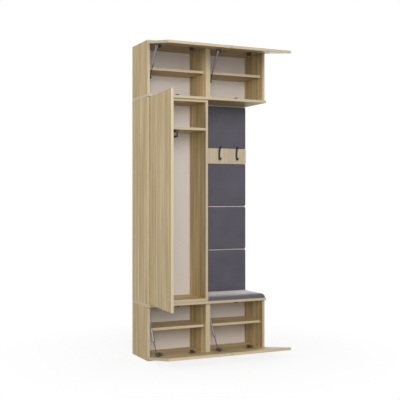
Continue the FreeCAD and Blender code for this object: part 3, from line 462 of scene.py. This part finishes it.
def facing(front, p, q, z, on_front=False):
    """The room direction of a direction in that frame."""
    there = spot(front, HINGE_AXIS[0] + p, HINGE_AXIS[1] + q, z, on_front)
    return (there - spot(front, HINGE_AXIS[0], HINGE_AXIS[1], 0, on_front)).normalized()


def body_of(front):
    return "door" if front == "door" else front + "_flap"


def new_tree(name, sizes):
    """A geometry tree with a Geometry input, named sizes, and one output."""
    tree = bpy.data.node_groups.new(name, "GeometryNodeTree")
    tree.interface.new_socket("Geometry", in_out="INPUT", socket_type="NodeSocketGeometry")
    for size, start in sizes.items():
        socket = tree.interface.new_socket(size, in_out="INPUT", socket_type="NodeSocketFloat")
        socket.default_value = start
    tree.interface.new_socket("Geometry", in_out="OUTPUT", socket_type="NodeSocketGeometry")
    return tree


def step(tree, kind, settings=None, sockets=None):
    """One node of a geometry tree, with settings first and then its sockets."""
    node = tree.nodes.new(kind)
    for key, item in (settings or {}).items():
        setattr(node, key, item)
    for key, item in (sockets or {}).items():
        if isinstance(item, bpy.types.NodeSocket):
            tree.links.new(item, node.inputs[key])
        else:
            node.inputs[key].default_value = item
    return node


def product(tree, first, second):
    return step(tree, "ShaderNodeMath", {"operation": "MULTIPLY"},
                {0: first, 1: second}).outputs[0]


def close_tree(tree, source, master, material):
    """Masters set on every point along its facing, made real and given a finish."""
    along = step(tree, "GeometryNodeInputNamedAttribute", {"data_type": "FLOAT_VECTOR"},
                 {"Name": "facing"})
    turn = step(tree, "FunctionNodeAlignRotationToVector", {"axis": "Z"},
                {"Vector": along.outputs[0]})
    placed = step(tree, "GeometryNodeInstanceOnPoints", None,
                  {"Points": source.outputs["Geometry"], "Instance": master,
                   "Rotation": turn.outputs[0]})
    real = step(tree, "GeometryNodeRealizeInstances", None, {"Geometry": placed.outputs[0]})
    done = step(tree, "GeometryNodeSetMaterial", None, {"Geometry": real.outputs[0],
                                                        "Material": material})
    output = step(tree, "NodeGroupOutput")
    tree.links.new(done.outputs[0], output.inputs[0])
    return tree


HEAD_RADIUS, HEAD_HEIGHT = 0.0035, 0.0012
HEAD_TOP_SHARE = 0.66
RECESS_LONG_SHARE, RECESS_WIDE_SHARE, RECESS_DEEP_SHARE = 1.15, 0.24, 1.2


def screw_tree(name, material):
    """A raised screw head with a cross recess cut into it."""
    tree = new_tree(name, {"Head Radius": HEAD_RADIUS, "Head Height": HEAD_HEIGHT})
    source = step(tree, "NodeGroupInput")
    radius, height = source.outputs["Head Radius"], source.outputs["Head Height"]
    head = step(tree, "GeometryNodeMeshCone", None, {
        "Vertices": 20, "Radius Top": product(tree, radius, HEAD_TOP_SHARE),
        "Radius Bottom": radius, "Depth": height})
    recess = step(tree, "GeometryNodeMeshBoolean", {"operation": "DIFFERENCE"},
                  {"Mesh 1": head.outputs["Mesh"]})
    for wide, deep in ((RECESS_LONG_SHARE, RECESS_WIDE_SHARE),
                       (RECESS_WIDE_SHARE, RECESS_LONG_SHARE)):
        size = step(tree, "ShaderNodeCombineXYZ", None, {
            0: product(tree, radius, wide), 1: product(tree, radius, deep),
            2: product(tree, height, RECESS_DEEP_SHARE)})
        bar = step(tree, "GeometryNodeMeshCube", None, {"Size": size.outputs[0]})
        lift = step(tree, "ShaderNodeCombineXYZ", None, {2: height})
        raised = step(tree, "GeometryNodeTransform", None, {
            "Geometry": bar.outputs["Mesh"], "Translation": lift.outputs[0]})
        tree.links.new(raised.outputs[0], recess.inputs["Mesh 2"])
    return close_tree(tree, source, recess.outputs[0], material)


def disc_tree(name, radius, height, share, material):
    """A flat disc with a sloping rim: a cover cap or a soft stop."""
    tree = new_tree(name, {"Radius": radius, "Height": height, "Top Share": share})
    source = step(tree, "NodeGroupInput")
    size = source.outputs["Radius"]
    disc = step(tree, "GeometryNodeMeshCone", None, {
        "Vertices": 28, "Radius Top": product(tree, size, source.outputs["Top Share"]),
        "Radius Bottom": size, "Depth": source.outputs["Height"]})
    return close_tree(tree, source, disc.outputs["Mesh"], material)


def made_real(name, holder):
    """A plain mesh object of what a holder's modifiers or curve give; the holder goes."""
    bpy.context.collection.objects.link(holder)
    graph = bpy.context.evaluated_depsgraph_get()
    mesh = bpy.data.meshes.new_from_object(holder.evaluated_get(graph))
    bpy.data.objects.remove(holder)
    piece = bpy.data.objects.new(name, mesh)
    bpy.context.collection.objects.link(piece)
    return piece


def repeat(name, tree, spots, body):
    """One plain mesh of a tree's masters at the given places, riding on a body."""
    seeds = bpy.data.meshes.new(name + "_seeds")
    seeds.from_pydata([place for place, way in spots], [], [])
    ways = seeds.attributes.new("facing", "FLOAT_VECTOR", "POINT")
    for i, (place, way) in enumerate(spots):
        ways.data[i].vector = way
    holder = bpy.data.objects.new(name + "_seeds", seeds)
    holder.modifiers.new("maker", "NODES").node_group = tree
    piece = made_real(name, holder)
    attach(piece, body)
    return piece


# Screws, in millimetres in a fitting's frame. A hinge has two through its arm, two through
# its mounting plate and two through the ears of its cup
ARM_SCREW = (21.6, -38)
ARM_SCREW_APART = 15.5
DOOR_PLATE_IN, FLAP_PLATE_IN = 42.5, 41.5
PLATE_SCREWS_FORWARD = (-24, -46)
CUP_SCREW = (24, 1.3)
CUP_SCREW_APART = 22.8
# A strut's stud plate and its bracket on the flap have two each, a latch has one
STRUT_FROM_MIDDLE = 200
STRUT_SCREWS_APART = (-13, 13)
STUD_IN, STUD_FORWARD, STUD_ASIDE = 256, -28, 9.5
BRACKET_IN, BRACKET_FORWARD, BRACKET_ASIDE = 94.4, 0.5, 16.5
LATCH_SCREW = (359.6, -44, 0)
# Coat hooks and wall brackets, in metres in the room
HOOKS, HOOK_FIRST, HOOK_PITCH, HOOK_FACE = 3, 0.073, 0.145, 0.1061
HOOK_SCREW_HEIGHTS = (1.417, 1.447)
BRACKET_SCREWS = ((-0.340, 0.134, 2.2025), (0.340, 0.134, 2.2025))

# Cover caps over the boards' joints, in rows: heights, walls with the way they face, depths
CAP_WALLS = ((-0.4416, 1), (-0.0184, -1), (0.0184, 1), (0.4416, -1))
CAP_ROWS = (((0.052, 0.334, 1.866, 2.148), CAP_WALLS, (-0.062, 0.088)),
            ((0.436, 1.560, 1.764), CAP_WALLS[:2], (-0.098, 0.088)))
CAP_RADIUS, CAP_HEIGHT, CAP_TOP_SHARE = 0.0075, 0.0008, 0.9

# Soft stops near a front's free corners: how far in, how far from the middle, in millimetres
FLAP_STOPS, DOOR_STOPS = (357, 219), (449, 700)
STOP_FORWARD = 2.6
STOP_RADIUS, STOP_HEIGHT, STOP_TOP_SHARE = 0.0045, 0.0014, 0.6


def screw_spots():
    """Places and directions of the screws on the carcass, and of those on each front."""
    carcass, on_front = [], {front: [] for front in FRONTS}
    for front in FRONTS:
        inward, outward = facing(front, 1, 0, 0), facing(front, 0, -1, 0, True)
        hinges, plate = ((DOOR_HINGES, DOOR_PLATE_IN) if front == "door"
                         else (FLAP_HINGES, FLAP_PLATE_IN))
        for z in hinges:
            for aside in (-ARM_SCREW_APART, ARM_SCREW_APART):
                carcass.append((spot(front, *ARM_SCREW, z + aside), inward))
            for q in PLATE_SCREWS_FORWARD:
                carcass.append((spot(front, plate, q, z), inward))
            for aside in (-CUP_SCREW_APART, CUP_SCREW_APART):
                on_front[front].append((spot(front, *CUP_SCREW, z + aside, True), outward))
    for front in FLAPS:
        outward = facing(front, 0, -1, 0, True)
        away = -1 if front.startswith("upper") else 1
        strut = -away * STRUT_FROM_MIDDLE
        for apart in STRUT_SCREWS_APART:
            stud = spot(front, STUD_IN + apart, STUD_FORWARD, strut - away * STUD_ASIDE)
            carcass.append((stud, facing(front, 0, 0, away)))
            bracket = spot(front, BRACKET_IN + apart, BRACKET_FORWARD,
                           strut + away * BRACKET_ASIDE, True)
            on_front[front].append((bracket, outward))
        carcass.append((spot(front, *LATCH_SCREW), facing(front, -1, 0, 0)))
    carcass += [(Vector(place), Vector((0, 0, 1))) for place in BRACKET_SCREWS]
    return carcass, on_front


def fasten():
    """Screw heads, cover caps and soft stops, one mesh a kind and a body."""
    heads = screw_tree("plated_screw_heads", SCREW)
    caps = disc_tree("cover_caps", CAP_RADIUS, CAP_HEIGHT, CAP_TOP_SHARE, CAP)
    stops = disc_tree("soft_stops", STOP_RADIUS, STOP_HEIGHT, STOP_TOP_SHARE, STOP)
    black_heads = screw_tree("black_screw_heads", BLACK_METAL)
    carcass, on_front = screw_spots()
    hooks = [(Vector((HOOK_FIRST + HOOK_PITCH * i, HOOK_FACE, z)), Vector((0, -1, 0)))
             for i in range(HOOKS) for z in HOOK_SCREW_HEIGHTS]
    repeat("hook_screws", black_heads, hooks, "carcass")
    repeat("carcass_screws", heads, carcass, "carcass")
    for front, spots in on_front.items():
        body = body_of(front)
        repeat(body + "_screws", heads, spots, body)

    covers = [(Vector((x, y, z)), Vector((way, 0, 0))) for heights, walls, depths in CAP_ROWS
              for z in heights for x, way in walls for y in depths]
    repeat("cover_caps", caps, covers, "carcass")

    for front in FRONTS:
        p, reach = DOOR_STOPS if front == "door" else FLAP_STOPS
        outward = facing(front, 0, -1, 0, True)
        pads = [(spot(front, p, STOP_FORWARD, z, True), outward) for z in (-reach, reach)]
        repeat(front + "_stops", stops, pads, body_of(front))


# Soft pieces: rings of points from the underside up and over a crown, then a little
# pressure in a cloth run, held where the piece rests. PAD_GRID counts the steps from the
# middle to a side; a corner's radius loses a share of the pull on its sides

PAD_GRID = 20
LEAST_CORNER = 0.0025
CORNER_PULL_SHARE = 0.4
CORNERS = ((0, 0), (0, 1), (1, 0), (1, 1))


class Pad:
    """A pad's plan: a rectangle with round corners, pulled in by its own amount on each side.

    box is (left, right, front, back), corners gives a radius for each (back, right) pair of 0
    and 1, and pulls are the shares that the left, right, front and back sides take.
    """

    def __init__(self, box, corners, pulls):
        self.box = box
        self.corners = corners
        self.pulls = pulls

    def pulled_in(self, pull):
        """The low and the high corner of the pulled-in rectangle."""
        left, right, front, back = (share * pull for share in self.pulls)
        return ((self.box[0] + left, self.box[2] + front),
                (self.box[1] - right, self.box[3] - back))

    def rim(self, u, v, pull):
        """The pulled-in rim's point for a point on the edge of the unit square."""
        low, high = self.pulled_in(pull)
        radius = max(self.corners[(v > 0, u > 0)] - CORNER_PULL_SHARE * pull, LEAST_CORNER)
        half = [(b - a) / 2 for a, b in zip(low, high)]
        offset = (half[0] * u, half[1] * v)
        core = [max(radius - size, min(size - radius, part))
                for size, part in zip(half, offset)]
        gap = [part - inner for part, inner in zip(offset, core)]
        length = math.hypot(*gap)
        return [(a + b) / 2 + inner + part / length * radius
                for a, b, inner, part in zip(low, high, core, gap)]

    def point(self, u, v, pull):
        """A point of the plan: the square's edge is the rim, its middle the rim's middle."""
        middle = [(a + b) / 2 for a, b in zip(*self.pulled_in(pull))]
        level = max(abs(u), abs(v))
        if level == 0:
            return middle
        return [inner + (outer - inner) * level
                for inner, outer in zip(middle, self.rim(u / level, v / level, pull))]


def square_walk():
    """The grid's outer points in order round the square."""
    n = PAD_GRID
    steps = range(-n, n)
    return ([(i / n, -1.0) for i in steps] + [(1.0, i / n) for i in steps]
            + [(-i / n, 1.0) for i in steps] + [(-1.0, -i / n) for i in steps])


def pad_mesh(name, plan, profile, place, crown):
    """A closed pad: a flat grid below, rings up its sides, a crowned grid on top."""
    model = bmesh.new()
    walk = square_walk()
    rings = [[model.verts.new(place(*plan.point(u, v, pull), height)) for u, v in walk]
             for pull, height in profile]
    count = len(walk)
    for lower, upper in zip(rings, rings[1:]):
        for i in range(count):
            j = (i + 1) % count
            model.faces.new((lower[i], lower[j], upper[j], upper[i]))
    n = PAD_GRID
    for end, rise in ((0, 0.0), (-1, crown)):
        pull, height = profile[end]
        grid = {(round(u * n), round(v * n)): vert for (u, v), vert in zip(walk, rings[end])}
        for i in range(-n + 1, n):
            for j in range(-n + 1, n):
                u, v = i / n, j / n
                lift = height + rise * (1 - u * u) * (1 - v * v)
                grid[i, j] = model.verts.new(place(*plan.point(u, v, pull), lift))
        for i in range(-n, n):
            for j in range(-n, n):
                model.faces.new((grid[i, j], grid[i + 1, j], grid[i + 1, j + 1],
                                 grid[i, j + 1]))
    bmesh.ops.recalc_face_normals(model, faces=model.faces)
    mesh = bpy.data.meshes.new(name)
    model.to_mesh(mesh)
    model.free()
    pad = bpy.data.objects.new(name, mesh)
    bpy.context.collection.objects.link(pad)
    return pad


COVER_CLOTH = {
    "quality": 6, "mass": 0.15, "tension_stiffness": 12, "compression_stiffness": 12,
    "shear_stiffness": 6, "bending_stiffness": 1.2, "use_pressure": True,
}


def puff(pad, held, pressure, cap, frames, shrink):
    """A short cloth run with air inside: held points stay put, none moves more than cap."""
    mesh = pad.data
    start = [v.co.copy() for v in mesh.vertices]
    pins = pad.vertex_groups.new(name="held")
    pins.add([v.index for v in mesh.vertices if held(v.co)], 1.0, "REPLACE")
    run = pad.modifiers.new("cloth", "CLOTH")
    for key, item in COVER_CLOTH.items():
        setattr(run.settings, key, item)
    run.settings.uniform_pressure_force = pressure
    run.settings.shrink_min = shrink
    run.settings.vertex_group_mass = "held"
    run.settings.effector_weights.gravity = 0
    run.point_cache.frame_start = 1
    run.point_cache.frame_end = frames
    for number in range(1, frames + 1):
        bpy.context.scene.frame_set(number)
    graph = bpy.context.evaluated_depsgraph_get()
    done = pad.evaluated_get(graph).to_mesh()
    ends = [v.co.copy() for v in done.vertices]
    pad.evaluated_get(graph).to_mesh_clear()
    pad.modifiers.remove(run)
    bpy.context.scene.frame_set(1)
    for v, first, last in zip(mesh.vertices, start, ends):
        move = last - first
        if move.length > cap:
            move = move.normalized() * cap
        v.co = first + move


def shade_smooth(mesh):
    for polygon in mesh.polygons:
        polygon.use_smooth = True


def smoothed(pad):
    bpy.context.view_layer.objects.active = pad
    shade_smooth(pad.data)
    rounder = pad.modifiers.new("rounder", "SUBSURF")
    rounder.levels = 1
    rounder.render_levels = 1
    bpy.ops.object.modifier_apply(modifier="rounder")


# The cushion: its plan, and its section as (pull, height) at the foot, then a quarter oval
SEAT_BOX = (0.0020, WIDTH / 2 - 0.0014, FRONT - 0.0185, BACK - 0.0380)
SEAT_CORNERS = (0.012, 0.008, 0.010, 0.014)
SEAT_PULLS = (0.26, 0.52, 0.50, 0.26)
SEAT_ROUNDING = 0.042
SEAT_HIGH = 0.0308
SEAT_CROWN = 0.0030
SEAT_TUCK = ((0.0030, 0.0), (0.0008, 0.0018), (0.0, 0.0042))
ARC_STEPS = 9
HELD_BELOW = 0.0010
WELT_RADIUS, WELT_HEIGHT = 0.0012, 0.0052


def rounded_edge(tuck, reach, top):
    """A pad's section: a small tuck at the foot, an upright, then a quarter oval to the top."""
    foot = tuck[-1][1]
    angles = [math.pi / 2 * i / ARC_STEPS for i in range(1, ARC_STEPS + 1)]
    return list(tuck) + [(reach * (1 - math.cos(angle)),
                          foot + (top - foot) * math.sin(angle)) for angle in angles]


def seat_cushion():
    """A thin foam seat pad in a cloth cover, full and round at its open edges."""
    plan = Pad(SEAT_BOX, dict(zip(CORNERS, SEAT_CORNERS)), SEAT_PULLS)

    def place(x, y, height):
        return Vector((x, y, SEAT + height))

    pad = pad_mesh("seat_cushion_cover", plan, rounded_edge(SEAT_TUCK, SEAT_ROUNDING, SEAT_HIGH),
                   place, SEAT_CROWN)
    puff(pad, lambda co: co.z < SEAT + HELD_BELOW,
         pressure=2.0, cap=0.0030, frames=18, shrink=0.004)
    smoothed(pad)
    pad.data.materials.append(VELVET)
    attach(pad, "carcass")
    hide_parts("seat_cushion")
    cushion_welt(plan)


def cushion_welt(plan):
    """The piped seam round the foot of the cushion."""
    line = [plan.point(u, v, 0.0) for u, v in square_walk()]
    welt = bpy.data.curves.new("cushion_welt", "CURVE")
    welt.dimensions = "3D"
    welt.bevel_depth = WELT_RADIUS
    welt.bevel_resolution = 3
    run = welt.splines.new("POLY")
    run.points.add(len(line) - 1)
    for point, (x, y) in zip(run.points, line):
        point.co = (x, y, SEAT + WELT_HEIGHT, 1)
    run.use_cyclic_u = True
    seam = made_real("cushion_welt", bpy.data.objects.new("cushion_welt_line", welt))
    shade_smooth(seam.data)
    seam.data.materials.clear()
    seam.data.materials.append(VELVET)
    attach(seam, "carcass")


# A panel's section as (pull, height) from its back, and then as (pull, drop) from its face
PANEL_FOOT = ((0.0010, 0.0), (0.0003, 0.0020), (0.0, 0.0060))
PANEL_EDGE = ((0.0001, 0.0075), (0.0007, 0.0047), (0.0021, 0.0026), (0.0042, 0.0015),
              (0.0075, 0.0010), (0.0130, 0.0007))
PANEL_CORNER = 0.005
PANEL_CROWN = 0.0009
PANEL_HELD = 0.0072


def soft_panels():
    """Foam-faced wall panels: cloth drawn over rounded edges, a slight crown in front."""
    for number in range(1, 5):
        node = "soft_panel_%d" % number
        low, high = (Vector(corner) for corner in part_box(node))
        back, deep = high.y, high.y - low.y
        plan = Pad((low.x, high.x, low.z, high.z), dict.fromkeys(CORNERS, PANEL_CORNER),
                   (1.0, 1.0, 1.0, 1.0))
        section = list(PANEL_FOOT) + [(pull, deep - drop) for pull, drop in PANEL_EDGE]

        def place(x, z, height):
            return Vector((x, back - height, z))

        pad = pad_mesh(node + "_cover", plan, section, place, PANEL_CROWN)
        puff(pad, lambda co: co.y > back - deep + PANEL_HELD,
             pressure=1.0, cap=0.0010, frames=12, shrink=0.002)
        smoothed(pad)
        pad.data.materials.append(CLOTH)
        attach(pad, "carcass")
        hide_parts(node)


# Lamps: place, watts, width and height; all aim at the middle of the wardrobe
LAMPS = {
    "front_window": ((-1.8, -5.3, 1.9), 137, (2.6, 2.0)),
    "high_window": ((-0.6, -5.0, 3.6), 88, (2.6, 2.0)),
    "left_window": ((-5.0, -1.2, 2.4), 97, (2.2, 1.8)),
    "back_window": ((3.6, 3.3, 2.8), 90, (2.4, 2.0)),
}
LAMP_TARGET = (0.0, 0.0, 1.1)
AMBIENT = 0.17
AMBIENT_TONE = (0.98, 0.985, 1.0)
WHITE = (1.0, 1.0, 1.0)


def seen_directly(tree):
    """1 for what the camera, a gloss or a clear surface sees, 0 for what only lights."""
    path = tree.nodes.new("ShaderNodeLightPath")
    total = Value(tree, path.outputs["Is Camera Ray"])
    total = total + Value(tree, path.outputs["Is Glossy Ray"])
    return (total + Value(tree, path.outputs["Is Transmission Ray"])).limit()


def background(tree, colour, strength):
    node = tree.nodes.new("ShaderNodeBackground")
    node.inputs["Color"].default_value = colour + (1,)
    node.inputs["Strength"].default_value = strength
    return node


def surroundings():
    """White for the camera, plain soft light for the object, and the lamps."""
    world = bpy.context.scene.world or bpy.data.worlds.new("studio")
    bpy.context.scene.world = world
    world.use_nodes = True
    tree = world.node_tree
    tree.nodes.clear()
    around = background(tree, AMBIENT_TONE, AMBIENT)
    seen = background(tree, WHITE, 1.0)
    blend = tree.nodes.new("ShaderNodeMixShader")
    output = tree.nodes.new("ShaderNodeOutputWorld")
    tree.links.new(seen_directly(tree).socket, blend.inputs[0])
    tree.links.new(around.outputs[0], blend.inputs[1])
    tree.links.new(seen.outputs[0], blend.inputs[2])
    tree.links.new(blend.outputs[0], output.inputs["Surface"])
    for name, (place, energy, size) in LAMPS.items():
        data = bpy.data.lights.new(name, "AREA")
        data.energy = energy
        data.shape = "RECTANGLE"
        data.size, data.size_y = size
        lamp = bpy.data.objects.new(name, data)
        lamp.location = place
        lamp.rotation_euler = (Vector(LAMP_TARGET) - Vector(place)).to_track_quat(
            "-Z", "Y").to_euler()
        bpy.context.collection.objects.link(lamp)


# The floor turns white from FADE_FROM metres on, over FADE_OVER metres; what is seen of it
# glows by GLOW_NEAR near the object, and by GLOW_GAIN more past the fade
FLOOR_REACH = 14.0
FLOOR_TONE = (0.26, 0.26, 0.27)
FADE_FROM, FADE_OVER = 0.6, 0.9
GLOW_NEAR, GLOW_GAIN = 0.87, 0.13


def floor():
    """A floor that keeps the shadow near the object and fades to white away from it."""
    reach = FLOOR_REACH
    mesh = bpy.data.meshes.new("floor")
    mesh.from_pydata([(-reach, -reach, 0), (reach, -reach, 0), (reach, reach, 0),
                      (-reach, reach, 0)], [], [(0, 1, 2, 3)])
    ground = bpy.data.objects.new("floor", mesh)
    bpy.context.collection.objects.link(ground)
    finish = Finish("pale_floor")
    seen = seen_directly(finish.tree)
    finish.set(Base_Color=finish.mix(seen, FLOOR_TONE, WHITE), Roughness=0.9,
               Specular_IOR_Level=0.1)
    glow = finish.node("Emission", None, {"Color": WHITE, "Strength": 1.0})
    away = finish.node("VectorMath", {"operation": "LENGTH"}, {0: finish.here()})
    fade = ((finish.value(away.outputs["Value"]) - FADE_FROM) / FADE_OVER).limit()
    blend = finish.node("MixShader", None, {0: seen * (fade * GLOW_GAIN + GLOW_NEAR),
                                            1: finish.shader.outputs[0],
                                            2: glow.outputs[0]})
    finish.feed(finish.output.inputs["Surface"], blend.outputs[0])
    mesh.materials.append(finish.material)


bpy.context.scene.view_settings.view_transform = "Standard"
aim_camera()
dress_carcass()
fasten()
seat_cushion()
soft_panels()
surroundings()
floor()
